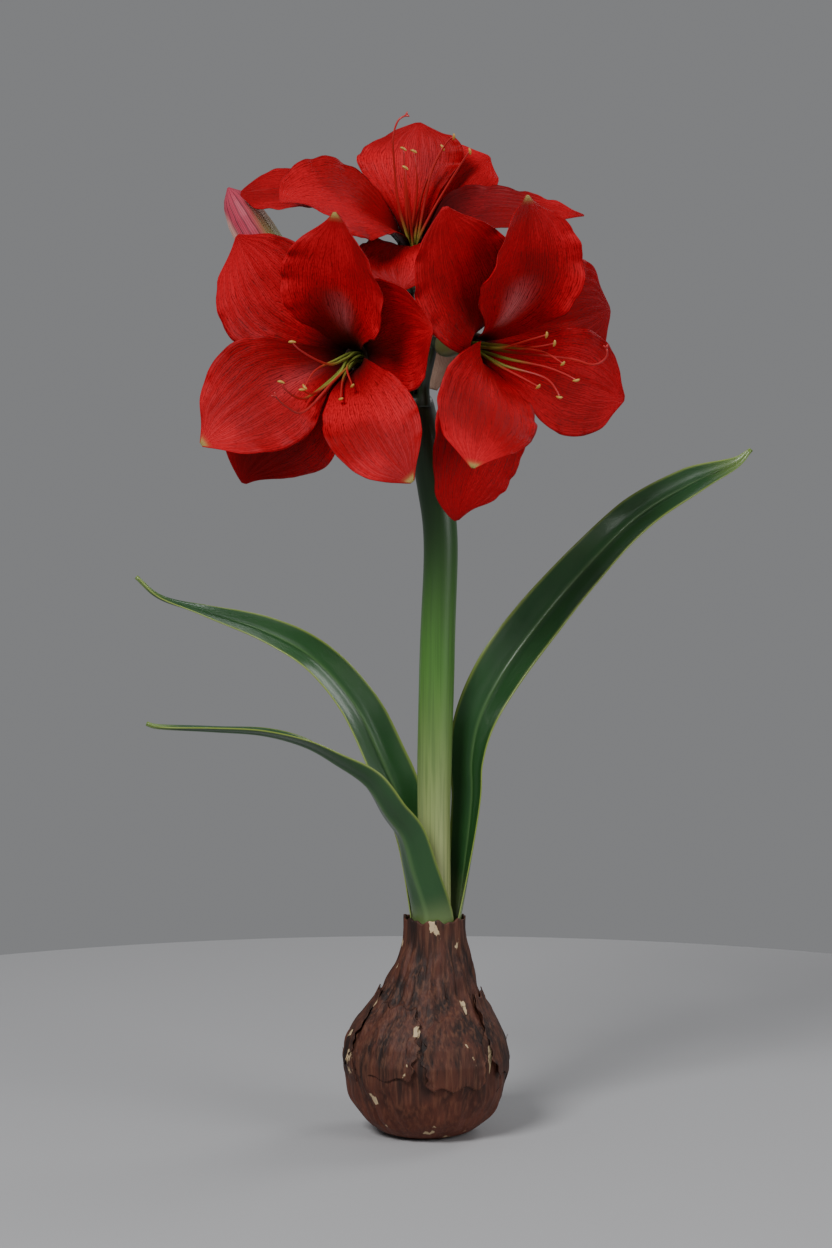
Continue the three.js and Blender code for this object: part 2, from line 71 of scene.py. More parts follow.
# What the numbers of a petal mean. Angles are in degrees.
#   clock    its place round the flower's axis, from the top
#   ring     how far from the axis it starts
#   open     its lean from the axis, at the base, halfway and at the tip
#   bend     its swing to the side, halfway and at the tip (none at the base)
#   twist    its turn round the midrib, halfway and at the tip
#   cup      how much its margins curl, halfway and at the tip
#   widest   where it is widest, as a share of its length
#   side     the width of each half, as a share of "width"
#   roll     an extra curl of each margin
#   ruffle   height, number along the petal, and phase of the margin's waves
# INNER and OUTER hold what most petals of a whorl share; a petal lists only what differs.
INNER = {
    "ring": 6, "length": 110, "width": 34, "open": [20, 50, 80], "bend": [0, 0], "twist": [0, 0],
    "cup": [10, 30], "widest": 0.5, "side": [1.1, 1.1], "roll": [0, 0], "ruffle": [1.5, 2, 0],
}
OUTER = {
    "ring": 8.5, "length": 100, "width": 36, "open": [30, 70, 100], "bend": [0, 0], "twist": [0, 0],
    "cup": [5, 15], "widest": 0.55, "side": [1.1, 1], "roll": [0, 0], "ruffle": [1, 2, 1],
}
FLOWERS = {
    "left": {
        "throat": [-42, -48, 478], "yaw": -27, "pitch": 2,
        "inner": [
            {"clock": 12, "length": 115, "open": [20, 45, 75], "bend": [10, -15], "twist": [0, 15],
                "cup": [20, 45], "widest": 0.45, "side": [1.2, 1.2], "ruffle": [2, 2.5, 0]},
            {"clock": 132, "length": 120, "width": 26, "open": [20, 60, 85], "bend": [5, 0],
                "twist": [25, 20], "widest": 0.6, "roll": [0, 10]},
            {"clock": 252, "width": 31, "open": [20, 45, 70], "bend": [-20, -20], "twist": [-5, -15],
                "cup": [5, 40], "widest": 0.45, "side": [1.2, 1.3], "roll": [-5, -10]},
        ],
        "outer": [
            {"clock": 72, "length": 85, "open": [30, 60, 60], "bend": [5, 20], "twist": [-15, 0],
                "cup": [15, 20], "roll": [10, 0]},
            {"clock": 192, "width": 33, "bend": [35, 5], "twist": [25, 20], "cup": [-15, 10],
                "widest": 0.45, "roll": [-15, 0]},
            {"clock": 312, "bend": [5, 20], "twist": [0, 20]},
        ],
    },
    "right": {
        "throat": [30, -44, 484], "yaw": 45, "pitch": -4,
        "inner": [
            {"clock": 3, "length": 115, "width": 36, "open": [20, 55, 100], "bend": [-20, -5],
                "twist": [10, -10], "cup": [20, 40], "roll": [10, 5], "ruffle": [2, 2.5, 1]},
            {"clock": 123, "length": 95, "width": 32, "bend": [-10, -20], "twist": [-10, 5], "cup": [0, 30],
                "widest": 0.55},
            {"clock": 243, "width": 36, "open": [20, 55, 80], "bend": [-15, -40], "twist": [-30, -60],
                "cup": [5, 10], "side": [1, 1]},
        ],
        "outer": [
            {"clock": 63, "length": 90, "bend": [10, 15], "twist": [-5, 5], "cup": [10, 0], "widest": 0.6},
            {"clock": 183, "length": 110, "open": [30, 80, 110], "bend": [25, -15], "cup": [-5, 35],
                "side": [1, 1.15]},
            {"clock": 303, "length": 115, "width": 36, "open": [30, 75, 85], "bend": [15, 35],
                "twist": [20, 40], "cup": [5, 20], "widest": 0.45, "side": [1, 1], "roll": [5, 0],
                "ruffle": [2, 2, 1]},
        ],
    },
    "top": {
        "throat": [-8, 6, 547], "yaw": 2, "pitch": 50,
        "inner": [
            {"clock": 0, "length": 75, "width": 36, "open": [20, 50, 70], "bend": [0, 20],
                "twist": [10, 30], "cup": [10, 0], "widest": 0.55, "roll": [-10, 0], "ruffle": [2, 3, 0]},
            {"clock": 120, "length": 125, "width": 24, "open": [18, 65, 95], "bend": [-5, -20],
                "twist": [-20, 20], "cup": [20, 10], "widest": 0.4, "side": [0.65, 1]},
            {"clock": 240, "width": 36, "open": [20, 55, 80], "bend": [5, -5], "twist": [10, -25],
                "cup": [0, 20], "widest": 0.55, "roll": [-10, 10]},
        ],
        "outer": [
            {"clock": 60, "length": 70, "width": 31, "open": [30, 60, 90], "bend": [-20, 0],
                "cup": [10, 20], "ruffle": [1.5, 3, 1]},
            {"clock": 180, "length": 70, "width": 34, "open": [30, 70, 135], "bend": [10, 0],
                "twist": [-10, -10], "cup": [5, 0], "widest": 0.65, "side": [1, 1.1],
                "ruffle": [3, 2.5, 2]},
            {"clock": 300, "length": 110, "width": 30, "open": [30, 80, 105], "bend": [-25, -15],
                "twist": [-20, 25], "cup": [10, 15], "widest": 0.6, "side": [1, 1], "roll": [5, -5]},
        ],
    },
}
# A thread leaves the throat at one of the THREAD_SLOTS and follows its path: each point is how far along
# the flower's axis, to its right and up.
STAMENS = {
    "left": [
        {"slot": 1, "path": [[22, 4, -12], [46, 15, -27]]},
        {"slot": 2, "path": [[20, 5, -6], [40, 20, -19]]},
        {"slot": 3, "path": [[18, 3, -1], [40, 3, -5], [62, -3, 2], [71, -7, 10]]},
        {"slot": 4, "path": [[18, -4, -2], [36, -8, -9], [50, -8, -21]]},
        {"slot": 5, "path": [[18, -2, -11], [40, -6, -22], [66, -1, -20]]},
        {"slot": 6, "path": [[20, -5, -13], [42, -11, -25], [66, -10, -21], [73, -12, -12]]},
    ],
    "right": [
        {"slot": 0, "path": [[22, 2, -9], [46, 10, -14], [60, 7, -21], [66, 5, -28]]},
        {"slot": 1, "path": [[24, 3, -5], [52, 7, -8], [72, 8, -13], [76, 11, -17]]},
        {"slot": 3, "path": [[24, 3, 2], [50, 4, 1], [72, 2, -6]]},
        {"slot": 4, "path": [[24, -1, 3], [50, -3, 4], [68, -1, 8]]},
        {"slot": 5, "path": [[26, -5, 2], [50, -8, 8], [66, -6, 13]]},
        {"slot": 6, "path": [[22, -3, -9], [42, -3, -15], [58, -3, -20]]},
    ],
    "top": [
        {"slot": 0, "path": [[28, -3, -2], [46, -5, 0], [58, -6, 6]]},
        {"slot": 1, "path": [[22, 11, 3], [42, 21, 6], [62, 31, 7], [68, 36, 8]]},
        {"slot": 2, "path": [[32, 8, 12], [46, 12, 17], [64, 20, 18], [71, 27, 16]]},
        {"slot": 3, "path": [[28, 5, 12], [46, 12, 19], [60, 19, 23]]},
        {"slot": 4, "path": [[34, 2, 9], [50, 1, 13], [60, -1, 20]]},
        {"slot": 5, "path": [[34, -5, 8], [52, -6, 14], [62, -7, 20]]},
    ],
}
STYLES = {
    "left": {"slot": 0, "path": [[26, -1, -15], [52, -6, -33], [70, -8, -30], [84, -8, -24]]},
    "right": {"slot": 2, "path": [[24, 6, -1], [62, 13, -2], [84, 11, -4], [92, 13, 1], [94, 10, 8]]},
    "top": {"slot": 6, "path": [[26, -9, 4], [52, -12, 10], [70, -13, 13], [80, -10, 17], [83, -4, 19]]},
}
PEDICELS = {
    "left": {"start": [-11.5, -5, 457.2], "through": [[-11.8, -5.4, 461], [-20, -13, 472]]},
    "right": {"start": [-1.5, -6.5, 457.6], "through": [[-1.4, -6.8, 461], [2, -15, 477]]},
    "top": {"start": [-4.5, 4.5, 457.4], "through": [[-4.5, 4.8, 461], [-6, 18, 484], [-8, 27, 505]]},
}
BUD_ROWS = 60
BUD_SIDES = 72
BUD_LINE = [[-82, 12, 519], [-90, 12, 532], [-106, 14, 557], [-121, 16, 582]]
BUD_RADIUS = [4, 8, 11.5, 13, 13, 12, 9, 3]
BUD_PEDICEL = [[-13, 3.6, 457.2], [-13.4, 3.5, 461], [-29, 0, 476], [-56, 5, 492],
    [-76, 12, 508.5], [-81.5, 12, 518]]
# Leaves and bracts: the midrib's line, half widths along it, the blade's turn round it at the base, halfway
# and at the tip, and the curl of its margins at the base and the tip.
BRACTS = [
    {"line": [[4, 6, 459], [9, 8, 480], [8, 8, 505], [4, 6, 531]],
        "width": [3, 12, 12, 5, 0.6], "turn": [175, 172, 165], "curl": [50, 30]},
    {"line": [[-17, 8, 459], [-24, 17, 471], [-31, 26, 488], [-37, 34, 502]],
        "width": [3, 9, 9, 5, 0.6], "turn": [200, 200, 190], "curl": [50, 40]},
]
LEAVES = {
    "upper_left_leaf": {
        "line": [[-5, 6.5, 121], [-10, 16, 175], [-16, 15, 204], [-27, 20, 229], [-44, 26, 263],
            [-69, 32, 291], [-100, 38, 308], [-138, 42, 320], [-166, 44, 329], [-181, 44, 342]],
        "width": [8, 12, 16, 17, 17, 15, 12, 8, 3.5, 0.8], "turn": [-52, -42, -62], "curl": [40, 22],
    },
    "lower_left_leaf": {
        "line": [[1.5, -14, 121], [0.5, -14.6, 138], [-7, -18, 165], [-13, -22, 187], [-23, -28, 202],
            [-35, -34, 221], [-53, -42, 235], [-72, -50, 247], [-97, -58, 255], [-127, -64, 258],
            [-158, -68, 260], [-166, -68, 262]],
        "width": [18, 16, 15, 14, 13, 11, 9, 6, 3.5, 0.8], "turn": [-165, -112, -68], "curl": [70, 20],
    },
    "right_leaf": {
        "line": [[18.3, 2.5, 121], [23, 6, 156], [28, 9, 206], [28, 10, 231], [33, 10, 256], [47, 12, 284],
            [68, 16, 313], [96, 20, 346], [130, 22, 380], [164, 24, 401], [191, 24, 413], [201, 24, 422]],
        "width": [10, 12, 14, 16, 17, 17, 16, 14, 10, 0.8], "turn": [74, 28, 50], "curl": [46, 25],
    },
}
# Flakes of the tunic: the middle and half of their spread round the bulb in degrees, and their two heights.
FLAKES = {
    "front_left_flake": {"at": 238, "half": 26, "low": 42, "high": 84},
    "front_right_flake": {"at": 292, "half": 24, "low": 36, "high": 78},
    "right_flake": {"at": 350, "half": 28, "low": 40, "high": 88},
    "back_flake": {"at": 90, "half": 40, "low": 38, "high": 86},
    "left_flake": {"at": 180, "half": 26, "low": 46, "high": 90},
}


# Shapes

def smooth(low, high, x):
    t = np.clip((np.asarray(x, float) - low) / (high - low), 0, 1)
    return t * t * (3 - 2 * t)


def three(u, values):
    """The quadratic through three values at 0, 0.5 and 1."""
    a, b, c = values
    return a * (1 - u) * (1 - 2 * u) + b * 4 * u * (1 - u) + c * u * (2 * u - 1)


def unit(v):
    v = np.asarray(v, float)
    return v / np.linalg.norm(v, axis=-1, keepdims=True)


def spline(points, count):
    """A smooth line through the points, as evenly spaced points."""
    p = np.asarray(points, float)
    p = np.vstack([2 * p[0] - p[1], p, 2 * p[-1] - p[-2]])
    fine = []
    for i in range(len(p) - 3):
        a, b, c, d = p[i : i + 4]
        square, cube = 2 * a - 5 * b + 4 * c - d, 3 * b - a - 3 * c + d
        for s in np.linspace(0, 1, 24, endpoint=False):
            fine.append(0.5 * (2 * b + (c - a) * s + square * s**2 + cube * s**3))
    fine = np.array(fine + [p[-2]])
    run = np.concatenate([[0], np.cumsum(np.linalg.norm(np.diff(fine, axis=0), axis=1))])
    at = np.linspace(0, run[-1], count + 1)
    return np.stack([np.interp(at, run, fine[:, k]) for k in range(3)], 1)


def along(values, u):
    return np.interp(u, np.linspace(0, 1, len(values)), values)


def make_piece(name, verts, faces, material, nodes=(), marks=None):
    """Makes one piece in metres, with named values at its points for the material to read."""
    mesh = bpy.data.meshes.new(name)
    mesh.from_pydata((np.asarray(verts) * METRES).tolist(), [], faces)
    for key, values in (marks or {}).items():
        mark = mesh.attributes.new(key, "FLOAT", "POINT")
        mark.data.foreach_set("value", np.asarray(values, np.float32).ravel())
    mesh.polygons.foreach_set("use_smooth", [True] * len(mesh.polygons))
    mesh.materials.append(material)
    piece = bpy.data.objects.new(name, mesh)
    bpy.context.scene.collection.objects.link(piece)
    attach(piece, "root")
    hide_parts(*nodes)


def sheet(rows, thickness):
    """A closed thin sheet round a grid of points, and its faces."""
    ahead = np.gradient(rows, axis=0)
    across = np.gradient(rows, axis=1)
    normal = unit(np.cross(ahead, across) + 1e-12)
    half = np.asarray(thickness)[..., None] / 2
    n, m = rows.shape[:2]
    verts = np.concatenate([(rows + normal * half).reshape(-1, 3), (rows - normal * half).reshape(-1, 3)])
    back = n * m
    faces = []
    for i in range(n - 1):
        for j in range(m - 1):
            a = i * m + j
            faces.append((a, a + m, a + m + 1, a + 1))
            faces.append((back + a, back + a + 1, back + a + m + 1, back + a + m))
    rim = list(range(m)) + [i * m + m - 1 for i in range(1, n)]
    rim += list(range(n * m - 2, n * m - m - 1, -1)) + [i * m for i in range(n - 2, 0, -1)]
    for a, b in zip(rim, rim[1:] + rim[:1]):
        faces.append((a, b, back + b, back + a))
    return verts, faces


def tube(points, radii, sides, ribs=0, rib_depth=0.0):
    """A closed round tube along points, and its length and angle at each point."""
    points = np.asarray(points, float)
    tangent = unit(np.gradient(points, axis=0))
    side = unit(np.cross(tangent[0], [0.3, 1, 0.2]))
    verts, length, angle = [], [], []
    for i, (centre, radius) in enumerate(zip(points, radii)):
        side = unit(side - tangent[i] * (side @ tangent[i]))
        other = np.cross(tangent[i], side)
        for j in range(sides):
            a = 2 * math.pi * j / sides
            r = radius * (1 + rib_depth * math.cos(ribs * a))
            verts.append(centre + r * (math.cos(a) * side + math.sin(a) * other))
            length.append(i / (len(points) - 1))
            angle.append(a)
    return np.array(verts), ring_faces(len(points), sides), np.array(length), np.array(angle)


def ring_faces(count, sides):
    faces = []
    for i in range(count - 1):
        for j in range(sides):
            a, b = i * sides + j, i * sides + (j + 1) % sides
            faces.append((a, b, b + sides, a + sides))
    faces.append(tuple(range(sides - 1, -1, -1)))
    faces.append(tuple(range((count - 1) * sides, count * sides)))
    return faces


def join(shapes):
    """Several (points, faces) as one."""
    verts, faces, start = [], [], 0
    for points, sides in shapes:
        verts.append(points)
        faces += [tuple(i + start for i in f) for f in sides]
        start += len(points)
    return np.concatenate(verts), faces


# Materials

class Maker:
    """Adds nodes to a material or a group in one line each. A value is a number, a colour or a socket."""

    def __init__(self, tree):
        self.tree = tree

    def put(self, socket, value):
        if isinstance(value, bpy.types.NodeSocket):
            self.tree.links.new(value, socket)
        elif value is not None:
            socket.default_value = value

    def mark(self, name):
        node = self.tree.nodes.new("ShaderNodeAttribute")
        node.attribute_name = name
        return node.outputs["Fac"]

    def place(self):
        return self.tree.nodes.new("ShaderNodeTexCoord").outputs["Object"]

    def stretch(self, vector, scale):
        node = self.tree.nodes.new("ShaderNodeMapping")
        self.put(node.inputs["Vector"], vector)
        node.inputs["Scale"].default_value = scale
        return node.outputs["Vector"]

    def combine(self, x, y, z=0.0):
        node = self.tree.nodes.new("ShaderNodeCombineXYZ")
        for socket, value in zip(node.inputs, (x, y, z)):
            self.put(socket, value)
        return node.outputs[0]

    def split(self, vector):
        node = self.tree.nodes.new("ShaderNodeSeparateXYZ")
        self.put(node.inputs[0], vector)
        return node.outputs

    def sum(self, kind, a, b=None, c=None):
        node = self.tree.nodes.new("ShaderNodeMath")
        node.operation = kind
        for socket, value in zip(node.inputs, (a, b, c)):
            self.put(socket, value)
        return node.outputs[0]

    def step(self, value, low, high, start=0.0, end=1.0):
        node = self.tree.nodes.new("ShaderNodeMapRange")
        node.interpolation_type = "SMOOTHSTEP"
        for socket, given in zip(node.inputs, (value, low, high, start, end)):
            self.put(socket, given)
        return node.outputs[0]

    def noise(self, vector, scale, detail=3.0):
        node = self.tree.nodes.new("ShaderNodeTexNoise")
        self.put(node.inputs["Vector"], vector)
        node.inputs["Scale"].default_value = scale
        node.inputs["Detail"].default_value = detail
        return node.outputs["Fac"]

    def blend(self, factor, a, b):
        node = self.tree.nodes.new("ShaderNodeMix")
        node.data_type = "RGBA"
        for socket, value in zip((node.inputs[0], node.inputs[6], node.inputs[7]), (factor, a, b)):
            self.put(socket, (*value, 1.0) if isinstance(value, tuple) and len(value) == 3 else value)
        return node.outputs[2]

    def group(self, tree, **values):
        node = self.tree.nodes.new("ShaderNodeGroup")
        node.node_tree = tree
        for key, value in values.items():
            self.put(node.inputs[key], value)
        return node.outputs[0]

    def finish(self, colour, height=None, depth=0.3, strength=0.5, **settings):
        shader = self.tree.nodes.new("ShaderNodeBsdfPrincipled")
        out = self.tree.nodes.new("ShaderNodeOutputMaterial")
        self.tree.links.new(shader.outputs[0], out.inputs[0])
        self.put(shader.inputs["Base Color"], colour)
        for key, value in settings.items():
            self.put(shader.inputs[key.replace("_", " ")], value)
        if height is not None:
            bump = self.tree.nodes.new("ShaderNodeBump")
            bump.inputs["Strength"].default_value = strength
            bump.inputs["Distance"].default_value = depth * METRES
            self.put(bump.inputs["Height"], height)
            self.put(shader.inputs["Normal"], bump.outputs[0])


def vein_group():
    """Fine veins that run the length of a petal or leaf, wavering a little."""
    tree = bpy.data.node_groups.new("long_veins", "ShaderNodeTree")
    for name, value in (("Along", 0.0), ("Across", 0.0), ("Count", 20.0), ("Waver", 0.3)):
        tree.interface.new_socket(name, in_out="INPUT", socket_type="NodeSocketFloat").default_value = value
    tree.interface.new_socket("Lines", in_out="OUTPUT", socket_type="NodeSocketFloat")
    m = Maker(tree)
    given = tree.nodes.new("NodeGroupInput").outputs
    place = m.combine(m.sum("MULTIPLY", given["Along"], 5.0), m.sum("MULTIPLY", given["Across"], 9.0))
    drift = m.noise(place, 1.0, 4)
    bent = m.sum("MULTIPLY_ADD", m.sum("SUBTRACT", drift, 0.5), given["Waver"], given["Across"])
    turns = m.sum("MULTIPLY", bent, given["Count"])
    wave = m.sum("ABSOLUTE", m.sum("SINE", m.sum("MULTIPLY", turns, math.pi)))
    lines = m.step(wave, 0.0, 0.55, 1.0, 0.0)
    out = tree.nodes.new("NodeGroupOutput")
    tree.links.new(lines, out.inputs["Lines"])
    return tree


def fibre_group():
    """Streaks drawn out along Z, as in stems and dry papery skins."""
    tree = bpy.data.node_groups.new("drawn_fibres", "ShaderNodeTree")
    tree.interface.new_socket("Place", in_out="INPUT", socket_type="NodeSocketVector")
    for name, value in (("Fineness", 400.0), ("Draw", 0.06)):
        tree.interface.new_socket(name, in_out="INPUT", socket_type="NodeSocketFloat").default_value = value
    tree.interface.new_socket("Streaks", in_out="OUTPUT", socket_type="NodeSocketFloat")
    m = Maker(tree)
    given = tree.nodes.new("NodeGroupInput").outputs
    x, y, z = m.split(given["Place"])
    fine = given["Fineness"]
    drawn = m.combine(
        m.sum("MULTIPLY", x, fine), m.sum("MULTIPLY", y, fine),
        m.sum("MULTIPLY", m.sum("MULTIPLY", z, fine), given["Draw"]),
    )
    out = tree.nodes.new("NodeGroupOutput")
    tree.links.new(m.noise(drawn, 1.0, 5), out.inputs["Streaks"])
    return tree


VEINS = vein_group()
FIBRES = fibre_group()


def new_material(name):
    material = bpy.data.materials.new(name)
    material.use_nodes = True
    material.node_tree.nodes.clear()
    return material, Maker(material.node_tree)


def petal_velvet():
    material, m = new_material("petal_velvet_red")
    u, v = m.mark("along"), m.mark("across")
    lines = m.group(VEINS, Along=u, Across=v, Count=25.0, Waver=0.16)
    cross = m.noise(m.combine(m.sum("MULTIPLY", u, 60.0), m.sum("MULTIPLY", v, 26.0)), 1.0, 3)
    patches = m.noise(m.place(), 24.0, 3)
    colour = m.blend(m.step(patches, 0.35, 0.65), (0.31, 0.001, 0.005), (0.54, 0.003, 0.011))
    net = m.sum("MULTIPLY", m.sum("ADD", m.sum("MULTIPLY", lines, 0.8), m.step(cross, 0.42, 0.68, 0.0, 0.45)),
                m.step(u, 0.0, 1.0, 0.95, 0.6))
    colour = m.blend(net, colour, (0.10, 0.0005, 0.001))
    pale = m.sum("MULTIPLY", m.mark("pale"), m.step(lines, 0.0, 1.0, 0.75, 0.1))
    colour = m.blend(pale, colour, (0.78, 0.25, 0.26))
    # Near-black towards the throat: partly the throat's own deep red, partly painted shade; on the petals
    # listed as lying in shade it is painted shade
    colour = m.blend(m.mark("throat_dark_and_shade"), colour, (0.018, 0.0006, 0.001))
    colour = m.blend(m.mark("tip"), colour, (0.33, 0.27, 0.08))
    height = m.sum("MULTIPLY_ADD", lines, -0.7, m.sum("MULTIPLY", cross, 0.5))
    m.finish(colour, height, 0.35, 0.55, Roughness=0.6, Specular_IOR_Level=0.16)
    return material


def filament():
    material, m = new_material("filament_and_anther")
    u = m.mark("along")
    reddening = m.step(u, m.mark("green"), m.sum("ADD", m.mark("green"), 0.25))
    colour = m.blend(reddening, (0.26, 0.30, 0.05), (0.42, 0.02, 0.02))
    grain = m.noise(m.place(), 2500.0, 2)
    colour = m.blend(m.mark("anther"), colour, m.blend(grain, (0.30, 0.10, 0.02), (0.62, 0.40, 0.08)))
    m.finish(colour, grain, 0.1, 0.3, Roughness=0.4)
    return material


def leaf_green():
    material, m = new_material("leaf_waxy_green")
    u, v = m.mark("along"), m.mark("across")
    lines = m.group(VEINS, Along=u, Across=v, Count=26.0, Waver=0.03)
    edge = m.sum("ABSOLUTE", v)
    patches = m.noise(m.place(), 30.0, 3)
    colour = m.blend(patches, (0.008, 0.045, 0.012), (0.022, 0.10, 0.018))
    colour = m.blend(m.sum("MULTIPLY", lines, 0.4), colour, (0.008, 0.03, 0.01))
    # Paler along the midrib: a painted highlight along the midrib's crease
    colour = m.blend(m.step(edge, 0.0, 0.16, 0.45, 0.0), colour, (0.11, 0.22, 0.07))
    colour = m.blend(m.step(edge, 0.86, 1.0, 0.0, 0.75), colour, (0.28, 0.36, 0.06))
    colour = m.blend(m.step(u, 0.9, 1.0, 0.0, 0.6), colour, (0.25, 0.36, 0.08))
    colour = m.blend(m.step(u, 0.0, 0.12, 0.75, 0.0), colour, (0.26, 0.34, 0.12))
    m.finish(colour, lines, 0.25, 0.5, Roughness=0.3, Coat_Weight=0.25, Coat_Roughness=0.2)
    return material


def stem_green():
    material, m = new_material("stem_bloomy_green")
    place = m.place()
    z = m.split(place)[2]
    streaks = m.group(FIBRES, Place=place, Fineness=700.0, Draw=0.02)
    colour = m.blend(m.step(z, 0.13, 0.30), (0.42, 0.46, 0.19), (0.07, 0.19, 0.03))
    colour = m.blend(m.step(z, 0.28, 0.40), colour, (0.016, 0.06, 0.014))
    # Near-black towards the top of the stem and over the flower and bud stalks: painted shade under the
    # flowers
    colour = m.blend(m.step(z, 0.39, 0.44), colour, (0.010, 0.014, 0.006))
    colour = m.blend(m.step(streaks, 0.4, 0.7, 0.0, 0.35), colour, (0.03, 0.08, 0.02))
    m.finish(colour, streaks, 0.2, 0.4, Roughness=0.38, Coat_Weight=0.12, Coat_Roughness=0.3)
    return material


def tube_green():
    material, m = new_material("ovary_green_red")
    grain = m.noise(m.place(), 160.0, 3)
    colour = m.blend(grain, (0.05, 0.11, 0.02), (0.12, 0.05, 0.02))
    # Dark brown inside the tube: painted shade in the throat
    colour = m.blend(m.mark("inside"), colour, (0.03, 0.012, 0.006))
    m.finish(colour, grain, 0.2, 0.3, Roughness=0.45)
    return material


def bud_skin():
    material, m = new_material("bud_striped")
    around, u = m.mark("across"), m.mark("along")
    lines = m.group(VEINS, Along=u, Across=around, Count=9.0, Waver=0.05)
    fine = m.group(VEINS, Along=u, Across=around, Count=31.0, Waver=0.02)
    colour = m.blend(lines, (0.42, 0.03, 0.07), (0.16, 0.008, 0.03))
    colour = m.blend(m.sum("MULTIPLY", fine, 0.35), colour, (0.62, 0.30, 0.26))
    green = m.sum("MULTIPLY", m.mark("green"), m.step(u, 0.3, 0.95, 1.0, 0.0))
    colour = m.blend(green, colour, (0.30, 0.34, 0.10))
    # Pale down the side facing the key light: a painted highlight
    colour = m.blend(m.mark("pale"), colour, (0.62, 0.36, 0.30))
    m.finish(colour, lines, 0.4, 0.5, Roughness=0.55, Specular_IOR_Level=0.3)
    return material


def bract_paper():
    material, m = new_material("bract_dry_paper")
    u, v = m.mark("along"), m.mark("across")
    lines = m.group(VEINS, Along=u, Across=v, Count=13.0, Waver=0.06)
    grain = m.noise(m.place(), 220.0, 4)
    colour = m.blend(grain, (0.34, 0.20, 0.14), (0.52, 0.36, 0.27))
    colour = m.blend(m.sum("MULTIPLY", lines, 0.7), colour, (0.12, 0.05, 0.04))
    m.finish(colour, lines, 0.4, 0.6, Roughness=0.85)
    return material


def tunic_paper():
    material, m = new_material("tunic_dry_brown")
    place = m.place()
    z = m.split(place)[2]
    streaks = m.group(FIBRES, Place=place, Fineness=520.0, Draw=0.05)
    broad = m.group(FIBRES, Place=place, Fineness=110.0, Draw=0.22)
    spots = m.noise(m.stretch(place, (1.0, 1.0, 0.55)), 95.0, 5)
    colour = m.blend(m.step(broad, 0.35, 0.65), (0.016, 0.006, 0.004), (0.085, 0.024, 0.013))
    colour = m.blend(m.step(streaks, 0.45, 0.68, 0.0, 0.55), colour, (0.15, 0.058, 0.030))
    colour = m.blend(m.step(streaks, 0.42, 0.25, 0.0, 0.85), colour, (0.008, 0.004, 0.003))
    colour = m.blend(m.step(z, 0.05, 0.0, 0.0, 0.4), colour, (0.20, 0.045, 0.022))
    colour = m.blend(m.step(spots, 0.67, 0.69, 0.0, 0.9), colour, (0.58, 0.44, 0.26))
    height = m.sum("ADD", m.sum("MULTIPLY", streaks, 0.8), m.sum("MULTIPLY", broad, 0.6))
    m.finish(colour, height, 1.1, 0.8, Roughness=0.62, Specular_IOR_Level=0.35)
    return material


# Flowers

def flower_axes(flower):
    yaw, pitch = math.radians(flower["yaw"]), math.radians(flower["pitch"])
    axis = np.array([math.sin(yaw) * math.cos(pitch), -math.cos(yaw) * math.cos(pitch), math.sin(pitch)])
    right = unit(np.cross([0, 0, 1], axis))
    return np.array(flower["throat"], float), axis, right, np.cross(axis, right)


def petal_width(u, petal):
    base = 5 / petal["width"]
    rise = base + (1 - base) * np.sin(np.clip(u / petal["widest"], 0, 1) * math.pi / 2) ** 1.15
    fall = np.maximum(1 - ((u - petal["widest"]) / (1 - petal["widest"])) ** 2, 0) ** 0.75
    point = 1 - 0.4 * smooth(0.84, 1.0, u)
    return petal["width"] * np.where(u < petal["widest"], rise, fall) * point


def petal_midrib(flower, petal):
    """Points, tangents, faces and opening angles down the middle of a petal."""
    throat, axis, right, up = flower_axes(flower)
    clock = math.radians(petal["clock"])
    outward = up * math.cos(clock) + right * math.sin(clock)
    sideways = right * math.cos(clock) - up * math.sin(clock)
    fine = np.linspace(0, PETAL_TIP, PETAL_ROWS * MIDRIB_FINENESS + 1)
    opening = np.radians(three(fine, petal["open"]))[:, None]
    swing = np.radians(three(fine, (0, *petal["bend"])))[:, None]
    tangent = np.cos(swing) * (np.cos(opening) * axis + np.sin(opening) * outward) + np.sin(swing) * sideways
    step = petal["length"] * PETAL_TIP / (len(fine) - 1)
    middle = throat + petal["ring"] * outward + np.vstack([
        np.zeros(3), np.cumsum((tangent[1:] + tangent[:-1]) / 2 * step, axis=0)])
    face = np.sin(opening) * axis - np.cos(opening) * outward
    face = unit(face - (face * tangent).sum(1, keepdims=True) * tangent)
    across = np.cross(face, tangent)
    across *= np.where((across * sideways).sum(1, keepdims=True) < 0, -1, 1)
    twist = np.radians(three(fine, (0, *petal["twist"])))[:, None]
    blade = across * np.cos(twist) + face * np.sin(twist)
    normal = face * np.cos(twist) - across * np.sin(twist)
    rows = slice(None, None, MIDRIB_FINENESS)
    return fine[rows], middle[rows], blade[rows], normal[rows], opening[rows, 0]


